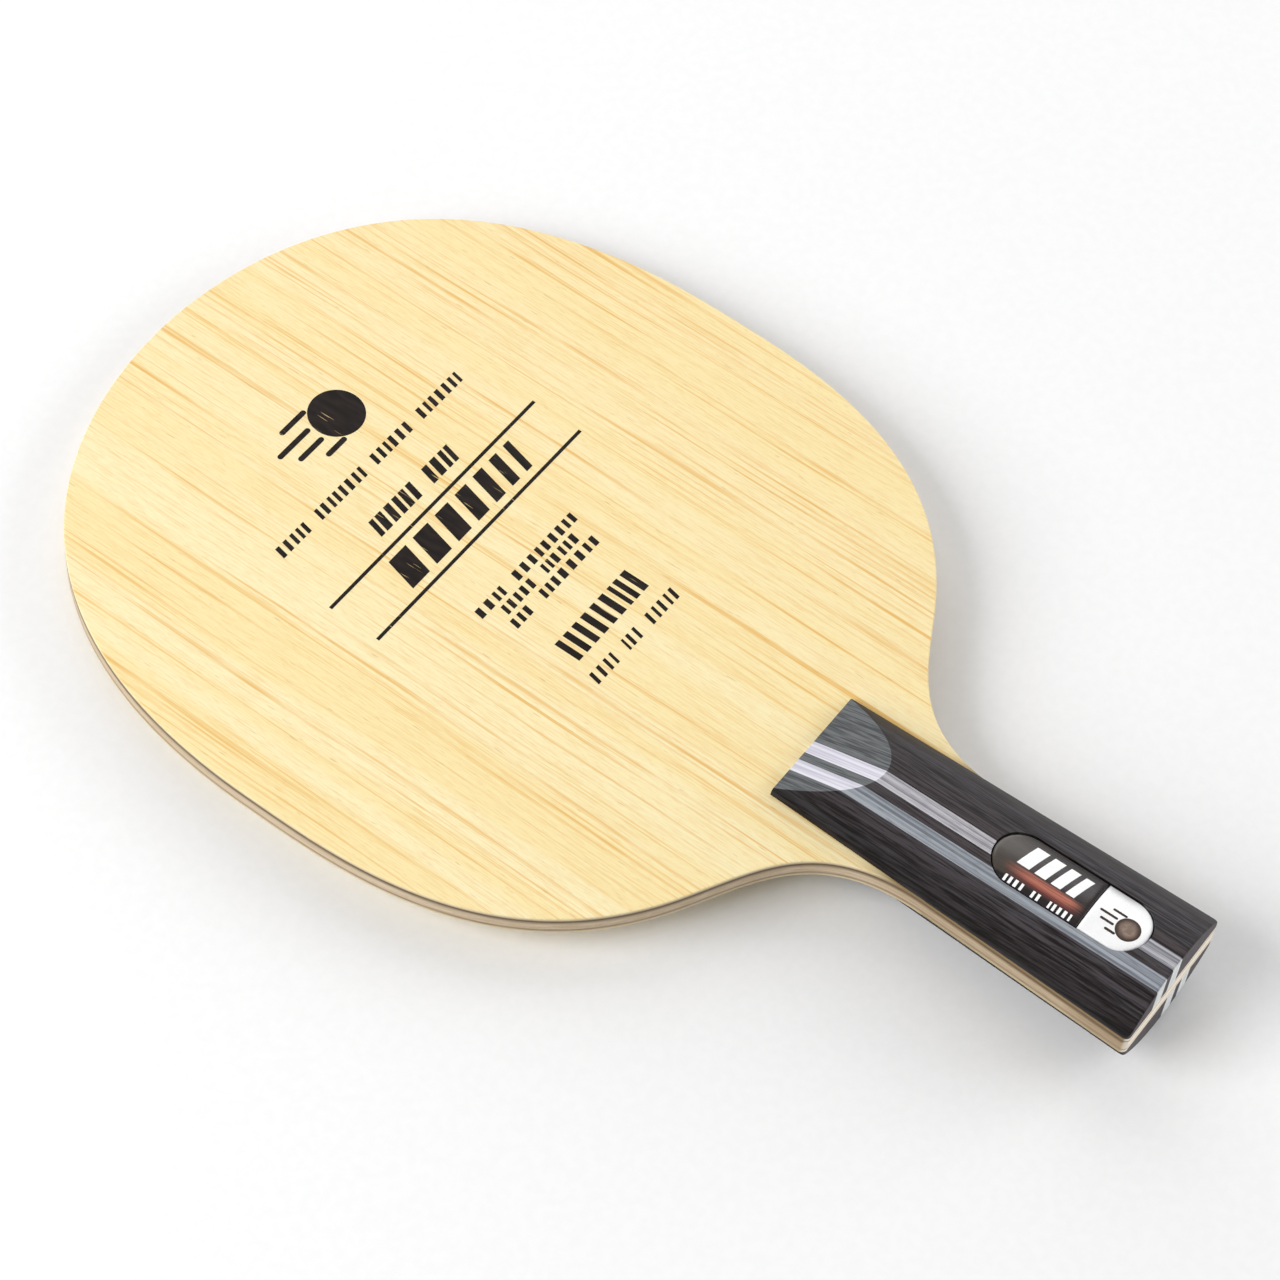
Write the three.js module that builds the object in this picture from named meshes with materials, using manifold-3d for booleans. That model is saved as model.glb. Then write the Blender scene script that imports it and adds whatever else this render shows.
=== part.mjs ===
// Penhold table tennis paddle, bare wood: a five-ply blade (three wood plies and two
// carbon plies) with a laminated half-round handle block glued on each side of its tang,
// and a capsule badge let into the front block.
//
// Millimetres. +Y points to the tip of the head, +Z out of the front face, +X to the right
// when the front face is seen with its tip up. The origin is the middle of the paddle:
// on its centre line, halfway along its length, halfway through the blade's thickness.

import * as THREE from "three";
import { mergeVertices } from "three/addons/utils/BufferGeometryUtils.js";
import Module from "manifold-3d";

const wasm = await Module();
wasm.setup();

// ---- Blade ----
const LENGTH = 243; // tip of the head to the butt of the handle
const HEAD_WIDTH = 150.6; // across the widest point of the head
const CORE_THICKNESS = 2.75;
const CARBON_THICKNESS = 0.25;
const VENEER_THICKNESS = 0.875;

// ---- Blade outline, its right-hand side from the neck up to the tip ----
// An ease is how far a curve's tangent handle reaches from the point it belongs to.
const NECK_Y = -76; // where the sweep of the neck leaves the straight tang
const NECK_EASE = 25;
const SHOULDER_X = 43; // where the sweep of the neck turns into the head
const SHOULDER_Y = -39.2;
const SHOULDER_SLOPE = 30; // degrees, of the edge at the shoulder, from the X axis
const SHOULDER_EASE_IN = 15.7; // towards the neck
const SHOULDER_EASE_OUT = 39; // towards the widest point
const WIDEST_Y = 37;
const WIDEST_EASE_DOWN = 21;
const WIDEST_EASE_UP = 77.5;
const TIP_EASE = 18.8;

// ---- Handle ----
const HANDLE_LENGTH = 82;
const FRONT_HALF_WIDTH = 13.6; // at the end nearest the head
const BUTT_HALF_WIDTH = 15.9;
const SIDE_WALL = 0.75; // upright edge of a block below its crown
const FRONT_CROWN = 6.7; // height of a block above the blade, if it had no ramp
const BUTT_CROWN = 8;
const RAMP_EDGE = 1.5; // height left at the foot of the ramp
const RAMP_LENGTH = 16.2;
const BUTT_CORNER = 1.2; // radius of the butt's corners, seen from the front
const GLUE_LINES = [-7.6, -4.6, -2.6, 0.5]; // x of the upright joints between the strips

// ---- Badge ----
const BADGE_LENGTH = 34; // of its pocket, round ends included
const BADGE_RADIUS = 6.2;
const BADGE_CENTRE_X = 0.4;
const BADGE_TO_BUTT = 7; // wood left between the pocket and the butt
const POCKET_FLOOR = 4.75; // above the blade's face
const BADGE_GAP = 0.25; // groove between the pocket's wall and the badge
const PANEL_THICKNESS = 0.6;
const BADGE_SINK = 0.1; // the panels lie this much below the crown
const LIGHT_PANEL_LENGTH = 12.2; // of the pocket's length, at the butt end
const PANEL_JOINT = 0.2; // gap between the two panels

// ---- Facets ----
const OUTLINE_STEPS = 22; // per Bezier curve of the outline
const CORNER_STEPS = 4;
const CROWN_FACETS = 15; // odd, so that a flat facet runs along the middle of the crown
const CAPSULE_STEPS = 12; // per half circle

// ---- Worked out from the above ----
const TIP_Y = LENGTH / 2;
const BUTT_Y = -LENGTH / 2;
const HANDLE_FRONT_Y = BUTT_Y + HANDLE_LENGTH;
const CORE_TOP = CORE_THICKNESS / 2;
const CARBON_TOP = CORE_TOP + CARBON_THICKNESS;
const FACE = CARBON_TOP + VENEER_THICKNESS;
const BADGE_CENTRE_Y = BUTT_Y + BADGE_TO_BUTT + BADGE_LENGTH / 2;
const MARGIN = 1; // how far a cutting solid reaches past what it cuts
const CLEAR = 30; // half size of a cutting solid, beyond any part of the handle's section
const CROWN_RUN_ON = 2; // how far the crown's section carries on below the blade's face

function material(color, roughness, metalness = 0) {
  return new THREE.MeshStandardMaterial({ color, roughness, metalness });
}

const VENEER = material(0xf3dca6, 0.55);
const CORE = material(0xd9c39c, 0.7);
const CARBON = material(0x3a2f28, 0.6);
const DARK_WOOD = material(0x3c373a, 0.4);
const GREY_WOOD = material(0x9a9fac, 0.4);
const BLACK_PLASTIC = material(0x141212, 0.45);
const DARK_PRINT = material(0x4a4038, 0.25);
const WHITE_PRINT = material(0xf2f2f2, 0.25);

// ---- Solids and booleans ----

function toSolid(geometry) {
  const bare = geometry.clone();
  bare.deleteAttribute("normal");
  bare.deleteAttribute("uv");
  const merged = mergeVertices(bare);
  return new wasm.Manifold(
    new wasm.Mesh({
      numProp: 3,
      vertProperties: Float32Array.from(merged.attributes.position.array),
      triVerts: Uint32Array.from(merged.index.array),
    }),
  );
}

function toGeometry(solid) {
  const mesh = solid.getMesh();
  const geometry = new THREE.BufferGeometry();
  geometry.setAttribute("position", new THREE.BufferAttribute(mesh.vertProperties, 3));
  geometry.setIndex(new THREE.BufferAttribute(mesh.triVerts, 1));
  geometry.computeVertexNormals();
  return geometry;
}

// A flat shape extruded along Z from one height to another.
function slab(shape, low, high) {
  const geometry = new THREE.ExtrudeGeometry(shape, {
    depth: high - low,
    bevelEnabled: false,
    curveSegments: CAPSULE_STEPS,
  });
  return geometry.translate(0, 0, low);
}

function box(lowX, highX, lowY, highY, lowZ, highZ) {
  const geometry = new THREE.BoxGeometry(highX - lowX, highY - lowY, highZ - lowZ);
  return geometry.translate((lowX + highX) / 2, (lowY + highY) / 2, (lowZ + highZ) / 2);
}

// ---- Blade outline ----

function handleHalfWidth(y) {
  const share = (HANDLE_FRONT_Y - y) / HANDLE_LENGTH;
  return THREE.MathUtils.lerp(FRONT_HALF_WIDTH, BUTT_HALF_WIDTH, share);
}

// Right-hand corner of the butt, from the end face round to the side.
function buttCorner() {
  const corner = new THREE.Path();
  const centreX = BUTT_HALF_WIDTH - BUTT_CORNER;
  corner.absarc(centreX, BUTT_Y + BUTT_CORNER, BUTT_CORNER, -Math.PI / 2, 0, false);
  return corner.getPoints(CORNER_STEPS);
}

// The head is an egg: a Bezier curve from the tip to the widest point, one that turns in
// under the shoulder, and one that sweeps down the neck into the straight tang.
function bladeOutline() {
  const neck = new THREE.Vector2(handleHalfWidth(NECK_Y), NECK_Y);
  const neckUpY = NECK_Y + NECK_EASE;
  const neckUp = new THREE.Vector2(handleHalfWidth(neckUpY), neckUpY);

  const slope = THREE.MathUtils.degToRad(SHOULDER_SLOPE);
  const along = new THREE.Vector2(Math.cos(slope), Math.sin(slope));
  const shoulder = new THREE.Vector2(SHOULDER_X, SHOULDER_Y);
  const shoulderIn = shoulder.clone().addScaledVector(along, -SHOULDER_EASE_IN);
  const shoulderOut = shoulder.clone().addScaledVector(along, SHOULDER_EASE_OUT);

  const widest = new THREE.Vector2(HEAD_WIDTH / 2, WIDEST_Y);
  const widestDown = new THREE.Vector2(widest.x, WIDEST_Y - WIDEST_EASE_DOWN);
  const widestUp = new THREE.Vector2(widest.x, WIDEST_Y + WIDEST_EASE_UP);
  const tip = new THREE.Vector2(0, TIP_Y);
  const tipRight = new THREE.Vector2(TIP_EASE, TIP_Y);

  const curves = [
    new THREE.CubicBezierCurve(neck, neckUp, shoulderIn, shoulder),
    new THREE.CubicBezierCurve(shoulder, shoulderOut, widestDown, widest),
    new THREE.CubicBezierCurve(widest, widestUp, tipRight, tip),
  ];
  const right = [...buttCorner(), neck];
  for (const curve of curves) right.push(...curve.getPoints(OUTLINE_STEPS).slice(1));
  return bothSides(right);
}

// A closed shape from its right-hand side, listed from the bottom up.
function bothSides(right) {
  const left = right.filter((point) => point.x > 0).reverse();
  return new THREE.Shape([...right, ...left.map((point) => new THREE.Vector2(-point.x, point.y))]);
}

// ---- Handle block ----

// Section of the crown at the butt: a circular arc over the side walls, carried on below
// them so that the plan outline alone cuts the sides.
function crownSection() {
  const rise = BUTT_CROWN - SIDE_WALL;
  const radius = (rise * rise + BUTT_HALF_WIDTH * BUTT_HALF_WIDTH) / (2 * rise);
  const centreZ = BUTT_CROWN - radius;
  const reach = Math.acos((-CROWN_RUN_ON - centreZ) / radius); // from the top, each way
  const arc = new THREE.Path();
  arc.absarc(0, centreZ, radius, Math.PI / 2 - reach, Math.PI / 2 + reach, false);
  return new THREE.Shape(arc.getPoints(CROWN_FACETS));
}

// The crown along the handle: its section shrinks evenly from the butt to the front end.
function crownGeometry() {
  const geometry = new THREE.ExtrudeGeometry(crownSection(), {
    depth: HANDLE_LENGTH + 2 * MARGIN,
    bevelEnabled: false,
  });
  geometry.rotateX(Math.PI / 2).translate(0, HANDLE_FRONT_Y + MARGIN, 0);
  const narrowing = FRONT_HALF_WIDTH / BUTT_HALF_WIDTH;
  const lowering = (FRONT_CROWN - SIDE_WALL) / (BUTT_CROWN - SIDE_WALL);
  const position = geometry.attributes.position;
  for (let i = 0; i < position.count; i += 1) {
    const share = (HANDLE_FRONT_Y - position.getY(i)) / HANDLE_LENGTH;
    const scaleX = THREE.MathUtils.lerp(narrowing, 1, share);
    const scaleZ = THREE.MathUtils.lerp(lowering, 1, share);
    position.setX(i, position.getX(i) * scaleX);
    position.setZ(i, SIDE_WALL + (position.getZ(i) - SIDE_WALL) * scaleZ);
  }
  return geometry;
}

function handlePlan() {
  const front = new THREE.Vector2(FRONT_HALF_WIDTH, HANDLE_FRONT_Y);
  return bothSides([...buttCorner(), front]);
}

// Everything above the inclined plane that thins the block towards the head.
function rampCutter() {
  const share = RAMP_LENGTH / HANDLE_LENGTH;
  const crownThere = THREE.MathUtils.lerp(FRONT_CROWN, BUTT_CROWN, share);
  const angle = Math.atan((crownThere - RAMP_EDGE) / RAMP_LENGTH);
  const cutter = box(-CLEAR, CLEAR, -CLEAR, CLEAR, 0, CLEAR);
  return cutter.rotateX(-angle).translate(0, HANDLE_FRONT_Y, RAMP_EDGE);
}

// The badge's plan, shrunk by inset from the pocket's outline.
function capsule(inset) {
  const radius = BADGE_RADIUS - inset;
  const half = BADGE_LENGTH / 2 - BADGE_RADIUS;
  const shape = new THREE.Shape();
  shape.absarc(BADGE_CENTRE_X, BADGE_CENTRE_Y + half, radius, 0, Math.PI, false);
  shape.absarc(BADGE_CENTRE_X, BADGE_CENTRE_Y - half, radius, Math.PI, 2 * Math.PI, false);
  return shape;
}

const crown = toSolid(crownGeometry());
const plan = toSolid(slab(handlePlan(), 0, BUTT_CROWN + MARGIN));
const block = crown.intersect(plan).subtract(toSolid(rampCutter()));
const pocket = toSolid(slab(capsule(0), POCKET_FLOOR, BUTT_CROWN + MARGIN));

// The piece of a block between two upright glue lines.
function strip(source, lowX, highX) {
  const between = box(lowX, highX, BUTT_Y - MARGIN, HANDLE_FRONT_Y + MARGIN, -MARGIN, CLEAR);
  return toGeometry(source.intersect(toSolid(between)));
}

// ---- Assembly ----

const paddle = new THREE.Group();

function addMesh(parent, name, geometry, meshMaterial) {
  const mesh = new THREE.Mesh(geometry, meshMaterial);
  mesh.name = name;
  parent.add(mesh);
}

const outline = bladeOutline();
const plies = [
  ["front_face_ply", CARBON_TOP, FACE, VENEER],
  ["front_carbon_ply", CORE_TOP, CARBON_TOP, CARBON],
  ["core_ply", -CORE_TOP, CORE_TOP, CORE],
  ["back_carbon_ply", -CARBON_TOP, -CORE_TOP, CARBON],
  ["back_face_ply", -FACE, -CARBON_TOP, VENEER],
];
for (const [name, low, high, plyMaterial] of plies) {
  addMesh(paddle, name, slab(outline, low, high), plyMaterial);
}

// Both handle blocks are the same laminated piece, the back one turned over about the
// paddle's long axis. Only the front one has the badge's pocket.
const frontHandle = new THREE.Group();
frontHandle.position.z = FACE;
const backHandle = new THREE.Group();
backHandle.position.z = -FACE;
backHandle.rotation.y = Math.PI;
paddle.add(frontHandle, backHandle);

const stripNames = ["left_block", "left_stripe", "middle_strip", "right_stripe", "right_block"];
const stripEdges = [-CLEAR, ...GLUE_LINES, CLEAR];
const pocketed = block.subtract(pocket);
stripNames.forEach((name, i) => {
  const wood = name.endsWith("stripe") ? GREY_WOOD : DARK_WOOD;
  addMesh(frontHandle, `front_handle_${name}`, strip(pocketed, stripEdges[i], stripEdges[i + 1]), wood);
  addMesh(backHandle, `back_handle_${name}`, strip(block, stripEdges[i], stripEdges[i + 1]), wood);
});

// The badge follows the crown, which is lowered to make each of its surfaces.
const badgeTop = crown.translate([0, 0, -BADGE_SINK]);
const backingTop = crown.translate([0, 0, -BADGE_SINK - PANEL_THICKNESS]);
const badgeBlank = toSolid(slab(capsule(BADGE_GAP), POCKET_FLOOR, BUTT_CROWN));
const backing = badgeBlank.intersect(backingTop);
const panels = badgeBlank.intersect(badgeTop).subtract(backingTop);
const panelJointY = BUTT_Y + BADGE_TO_BUTT + LIGHT_PANEL_LENGTH;

function panel(lowY, highY) {
  return toGeometry(panels.intersect(toSolid(box(-CLEAR, CLEAR, lowY, highY, 0, CLEAR))));
}

const badge = new THREE.Group();
frontHandle.add(badge);
addMesh(badge, "badge_backing", toGeometry(backing), BLACK_PLASTIC);
addMesh(badge, "badge_dark_panel", panel(panelJointY + PANEL_JOINT, HANDLE_FRONT_Y), DARK_PRINT);
addMesh(badge, "badge_light_panel", panel(BUTT_Y, panelJointY), WHITE_PRINT);

export default paddle;
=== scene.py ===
"""Looks of a bare penhold table tennis paddle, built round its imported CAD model.

Every ply, handle strip and badge piece is remade with finer curves and eased edges, and gets
a procedural material. The printed marks, floor, lights and camera are added. Lengths are in
metres in the model's frame: +Y runs to the tip of the head and +Z out of the badge side.
"""

import math
import random

import bmesh
import bpy
from mathutils import Matrix, Vector


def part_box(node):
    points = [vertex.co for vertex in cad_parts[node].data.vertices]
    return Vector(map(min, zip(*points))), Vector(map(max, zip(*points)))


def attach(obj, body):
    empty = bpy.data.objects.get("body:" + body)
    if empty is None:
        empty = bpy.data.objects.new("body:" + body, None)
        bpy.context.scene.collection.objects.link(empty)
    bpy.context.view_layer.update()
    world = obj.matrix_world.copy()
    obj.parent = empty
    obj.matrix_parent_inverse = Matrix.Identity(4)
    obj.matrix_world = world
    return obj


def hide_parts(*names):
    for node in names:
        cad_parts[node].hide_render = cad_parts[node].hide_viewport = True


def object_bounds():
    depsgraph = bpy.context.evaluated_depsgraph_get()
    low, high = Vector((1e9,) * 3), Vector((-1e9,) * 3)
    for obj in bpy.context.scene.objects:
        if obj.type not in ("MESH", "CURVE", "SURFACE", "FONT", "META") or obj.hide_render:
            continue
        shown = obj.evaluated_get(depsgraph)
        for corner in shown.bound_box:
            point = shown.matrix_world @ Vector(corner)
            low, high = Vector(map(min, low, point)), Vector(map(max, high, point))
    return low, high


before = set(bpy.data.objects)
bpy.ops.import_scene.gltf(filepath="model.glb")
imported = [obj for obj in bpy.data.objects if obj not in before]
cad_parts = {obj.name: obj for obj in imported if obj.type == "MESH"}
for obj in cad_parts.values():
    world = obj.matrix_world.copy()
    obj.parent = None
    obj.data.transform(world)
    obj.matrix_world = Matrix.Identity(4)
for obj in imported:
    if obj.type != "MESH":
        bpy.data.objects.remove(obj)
CAD_LOW, CAD_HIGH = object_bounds()

MM = 0.001

# ---- Sizes read from the frame ----
CORE_LOW, CORE_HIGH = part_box("core_ply")
BUTT_Y, TIP_Y = CORE_LOW.y, CORE_HIGH.y
HEAD_HALF_WIDTH = CORE_HIGH.x
FACE_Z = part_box("front_face_ply")[1].z
HANDLE_FRONT_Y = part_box("front_handle_middle_strip")[1].y
HANDLE_LENGTH = HANDLE_FRONT_Y - BUTT_Y
BUTT_HALF_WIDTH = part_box("front_handle_right_block")[1].x
BUTT_CROWN = CAD_HIGH.z - FACE_Z  # height of a block above the blade, at the butt
GLUE_LINES = [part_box(f"front_handle_{name}")[1].x
              for name in ("left_block", "left_stripe", "middle_strip", "right_stripe")]

# ---- Blade outline, its right-hand side from the neck up to the tip ----
# An ease here is how far a curve's tangent handle reaches from the point it belongs to.
NECK_Y = -76 * MM
NECK_EASE = 25 * MM
SHOULDER = Vector((43, -39.2)) * MM
SHOULDER_SLOPE = math.radians(30)
SHOULDER_EASE_IN = 15.7 * MM
SHOULDER_EASE_OUT = 39 * MM
WIDEST_Y = 37 * MM
WIDEST_EASE_DOWN = 21 * MM
WIDEST_EASE_UP = 77.5 * MM
TIP_EASE = 18.8 * MM

# ---- Sanded arris round the head ----
ARRIS_EASE = 0.3 * MM  # its radius
ARRIS_FADE = 12 * MM  # length over which it dies out above NECK_Y

# ---- Handle blocks, with heights above the blade's face ----
FRONT_HALF_WIDTH = 13.6 * MM  # at the end towards the head
SIDE_WALL = 0.75 * MM  # height of the crown along the handle's sides
FRONT_CROWN = 6.7 * MM  # height of its middle at that end, before the ramp is cut
RAMP_EDGE = 1.5 * MM  # height that the ramp leaves there
RAMP_LENGTH = 16.2 * MM
BUTT_CORNER = 1.2 * MM  # radius of the butt's corners, seen from above
BUTT_EASE = 0.45 * MM  # rounding of the butt's upper arris
SIDE_EASE = 0.35 * MM  # rounding where the crown meets the side wall
CREASE_EASE = 0.12 * MM  # wear of the ramp's upper and lower edges

# ---- Badge ----
BADGE_LENGTH = 34 * MM
BADGE_RADIUS = 6.2 * MM
BADGE_X = 0.4 * MM
BADGE_Y = BUTT_Y + 7 * MM + BADGE_LENGTH / 2
POCKET_FLOOR = 4.75 * MM  # height above the blade's face
BADGE_GAP = 0.25 * MM  # groove between the pocket's wall and the badge
PANEL_THICKNESS = 0.6 * MM
BADGE_SINK = 0.1 * MM  # how far the badge's surface lies below the crown
DOME_REACH = 0.7 * MM  # how far in from its edge a panel rounds over
DOME_DEPTH = 0.4 * MM
DEEPEST_INSET = 5.6 * MM  # no ring of a badge surface is drawn further in than this
JOINT_LOW_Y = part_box("badge_light_panel")[1].y
JOINT_HIGH_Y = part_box("badge_dark_panel")[0].y

# ---- Facets ----
OUTLINE_STEPS = 72  # per Bezier curve
CORNER_STEPS = 8  # round a corner of the butt, on the blade
CORNER_STATIONS = 10  # handle cross-sections along a corner of the butt
EASE_STEPS = 4
EASE_SHARES = (0, 0.06, 0.2, 0.42, 0.7, 1)  # where the facets of an eased side lie across it
STATION_GAP = 1.6 * MM  # between the handle's other cross-sections
FACET_WIDTH = 0.6 * MM  # across the crown
ARC_STEPS = 40  # per half circle of the badge
SIDE_STEPS, JOINT_STEPS = 14, 16  # along a panel's straight side, and along the joint
DISC_STEPS, BAR_END_STEPS = 64, 8
BEND_STEP = 0.5 * MM  # width of the pieces a mark is cut into to follow the crown
SHARP = math.radians(34)  # edges that turn by more stay sharp
AREA_WEIGHT = 80  # how far large faces outweigh small ones in shading; 50 goes by area alone
STRIP_SIDE = 0.99  # a face is a side of its strip if its normal has at least this much of X
WELD = 0.0005 * MM  # vertices closer than this are one


# ---- Small geometry helpers ----


def lerp(a, b, share):
    return a + (b - a) * share


def bezier(start, pull_start, pull_end, end, steps):
    """Points of a cubic Bezier curve, both ends included."""
    points = []
    for i in range(steps + 1):
        t = i / steps
        s = 1 - t
        points.append(start * s**3 + pull_start * (3 * s * s * t)
                      + pull_end * (3 * s * t * t) + end * t**3)
    return points


def arc(centre, radius, first, last, steps):
    """Points on a circle from one angle to another, in radians, both ends included."""
    points = []
    for i in range(steps + 1):
        angle = lerp(first, last, i / steps)
        points.append(centre + Vector((math.cos(angle), math.sin(angle))) * radius)
    return points


def eased(distance, reach, depth):
    """How far an eased edge has fallen at a distance from the edge: depth at 0, nothing past reach."""
    if distance >= reach:
        return 0.0
    back = 1 - max(distance, 0.0) / reach
    return depth * (1 - math.sqrt(1 - back * back))


def mesh_object(name, bm):
    """Turns a bmesh into a smooth-shaded object whose sharp edges stay sharp."""
    bmesh.ops.recalc_face_normals(bm, faces=bm.faces)
    for face in bm.faces:
        face.smooth = True
    for edge in bm.edges:
        edge.smooth = len(edge.link_faces) == 2 and edge.calc_face_angle(0) < SHARP
    mesh = bpy.data.meshes.new(name)
    bm.to_mesh(mesh)
    bm.free()
    piece = bpy.data.objects.new(name, mesh)
    bpy.context.scene.collection.objects.link(piece)
    return piece


def keep_flats_flat(piece):
    """Weights the shading by area, so that eased edges don't shade the flat faces beside them."""
    weighted = piece.modifiers.new("flat faces", "WEIGHTED_NORMAL")
    weighted.keep_sharp = True
    weighted.weight = AREA_WEIGHT


def add_ring(bm, points):
    return [bm.verts.new(point) for point in points]


def bridge(bm, lower, upper):
    """Quads between two rings of the same number of vertices."""
    count = len(lower)
    for i in range(count):
        j = (i + 1) % count
        bm.faces.new((lower[i], lower[j], upper[j], upper[i]))


# ---- Blade ----


def side_half_width(y):
    """Half the handle's width, before its butt corners are rounded."""
    return lerp(FRONT_HALF_WIDTH, BUTT_HALF_WIDTH, (HANDLE_FRONT_Y - y) / HANDLE_LENGTH)


def outline():
    """The blade's outline, anticlockwise from the butt's right-hand corner."""
    corner = Vector((BUTT_HALF_WIDTH - BUTT_CORNER, BUTT_Y + BUTT_CORNER))
    right = arc(corner, BUTT_CORNER, -math.pi / 2, 0, CORNER_STEPS)

    neck = Vector((side_half_width(NECK_Y), NECK_Y))
    neck_up = Vector((side_half_width(NECK_Y + NECK_EASE), NECK_Y + NECK_EASE))
    along = Vector((math.cos(SHOULDER_SLOPE), math.sin(SHOULDER_SLOPE)))
    widest = Vector((HEAD_HALF_WIDTH, WIDEST_Y))
    tip = Vector((0, TIP_Y))
    curves = [
        (neck, neck_up, SHOULDER - along * SHOULDER_EASE_IN, SHOULDER),
        (SHOULDER, SHOULDER + along * SHOULDER_EASE_OUT, widest - Vector((0, WIDEST_EASE_DOWN)), widest),
        (widest, widest + Vector((0, WIDEST_EASE_UP)), tip + Vector((TIP_EASE, 0)), tip),
    ]
    right.append(neck)
    for curve in curves:
        right.extend(bezier(*curve, OUTLINE_STEPS)[1:])
    left = [Vector((-point.x, point.y)) for point in reversed(right[:-1])]
    return right + left


def outward(points):
    """Unit normals of a closed anticlockwise outline at its points."""
    normals = []
    for i in range(len(points)):
        chord = points[(i + 1) % len(points)] - points[i - 1]
        normals.append(Vector((chord.y, -chord.x)).normalized())
    return normals


def ply(name, low, high, eased_side):
    """One layer of the blade. eased_side is 1 or -1 for an outer ply, whose arris is eased, else 0."""
    shape = outline()
    normals = outward(shape)
    fades = [min(max((point.y - NECK_Y) / ARRIS_FADE, 0), 1) for point in shape]
    outer = high if eased_side > 0 else low
    inner = low if eased_side > 0 else high
    levels = [(inner, 0.0, 0.0)]
    if eased_side:
        for i in range(EASE_STEPS + 1):
            angle = i / EASE_STEPS * math.pi / 2
            inset = ARRIS_EASE * (1 - math.cos(angle))
            drop = ARRIS_EASE * (1 - math.sin(angle))
            levels.append((outer, inset, drop * eased_side))
    else:
        levels.append((outer, 0.0, 0.0))

    bm = bmesh.new()
    rings = []
    for level, inset, drop in levels:
        ring = []
        for point, normal, fade in zip(shape, normals, fades):
            place = point - normal * (inset * fade)
            ring.append((place.x, place.y, level - drop * fade))
        rings.append(add_ring(bm, ring))
    for lower, upper in zip(rings, rings[1:]):
        bridge(bm, lower, upper)
    bm.faces.new(rings[0])
    bm.faces.new(rings[-1])
    bmesh.ops.remove_doubles(bm, verts=bm.verts, dist=ARRIS_EASE / 100)
    piece = mesh_object(name, bm)
    keep_flats_flat(piece)
    return piece


# ---- Handle ----


def crown_height(x, y):
    """Height of the handle's crown above the blade's face, before its edges are eased."""
    share = (HANDLE_FRONT_Y - y) / HANDLE_LENGTH
    butt_rise = BUTT_CROWN - SIDE_WALL
    rise = lerp(FRONT_CROWN, BUTT_CROWN, share) - SIDE_WALL
    radius = (butt_rise**2 + BUTT_HALF_WIDTH**2) / (2 * butt_rise)
    across = x / side_half_width(y) * BUTT_HALF_WIDTH
    return SIDE_WALL + (math.sqrt(radius**2 - across**2) - radius + butt_rise) * rise / butt_rise


def plan_half_width(y):
    """Half the handle's width, with the butt's corners rounded."""
    return side_half_width(y) - eased(y - BUTT_Y, BUTT_CORNER, BUTT_CORNER)


def stations():
    """Where the handle's cross-sections are: close together round the butt, then evenly."""
    near = [BUTT_Y + BUTT_CORNER * (i / CORNER_STATIONS) ** 2 for i in range(CORNER_STATIONS + 1)]
    count = round((HANDLE_FRONT_Y - near[-1]) / STATION_GAP)
    return near + [lerp(near[-1], HANDLE_FRONT_Y, i / count) for i in range(1, count + 1)]


def spread(low, high, low_is_side, high_is_side):
    """Places across a strip, closer together where its edge is the handle's side."""
    fine = [SIDE_EASE * share for share in EASE_SHARES]
    inner_low = low + (SIDE_EASE if low_is_side else 0)
    inner_high = high - (SIDE_EASE if high_is_side else 0)
    places = [low + step for step in fine[:-1]] if low_is_side else []
    # a side block counts by one width, so that its cross-sections match
    width = BUTT_HALF_WIDTH if low_is_side or high_is_side else high - low
    count = max(3, round(width / FACET_WIDTH))
    places += [lerp(inner_low, inner_high, i / count) for i in range(count + 1)]
    if high_is_side:
        places += [high - step for step in reversed(fine[:-1])]
    return places


def strip_section(low_x, high_x, y):
    """A strip's cross-section at y: its foot on the blade, then its top from right to left."""
    half = plan_half_width(y)
    low_is_side, high_is_side = low_x is None, high_x is None
    low = -half if low_is_side else low_x
    high = half if high_is_side else high_x
    section = [(low, y, 0.0), (high, y, 0.0)]
    for x in reversed(spread(low, high, low_is_side, high_is_side)):
        height = crown_height(x, y)
        height -= eased(y - BUTT_Y, BUTT_EASE, BUTT_EASE)
        height -= eased(half - abs(x), SIDE_EASE, SIDE_EASE)
        section.append((x, y, height))
    return section


def cut_ramp(bm):
    """Planes the head end of a strip down to the ramp, and wears its upper and lower edges."""
    crown_there = lerp(FRONT_CROWN, BUTT_CROWN, RAMP_LENGTH / HANDLE_LENGTH)
    slope = math.atan((crown_there - RAMP_EDGE) / RAMP_LENGTH)
    normal = Vector((0, math.sin(slope), math.cos(slope)))
    geometry = bm.verts[:] + bm.edges[:] + bm.faces[:]
    painted_foot_shade = Vector((0, HANDLE_FRONT_Y, RAMP_EDGE))
    cut = bmesh.ops.bisect_plane(bm, geom=geometry, plane_co=painted_foot_shade, plane_no=normal, clear_outer=True)
    rim = [item for item in cut["geom_cut"] if isinstance(item, bmesh.types.BMEdge)]
    face = bmesh.ops.contextual_create(bm, geom=rim)["faces"][0]
    crease = [edge for edge in face.edges if worn(edge, face)]
    bmesh.ops.bevel(bm, geom=crease, offset=CREASE_EASE, segments=2, profile=0.5, affect="EDGES")


def worn(edge, ramp):
    """True for the ramp's upper and lower edges, and not for those on the strip's sides."""
    others = [face for face in edge.link_faces if face is not ramp]
    return all(abs(face.normal.x) < STRIP_SIDE for face in others)


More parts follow.
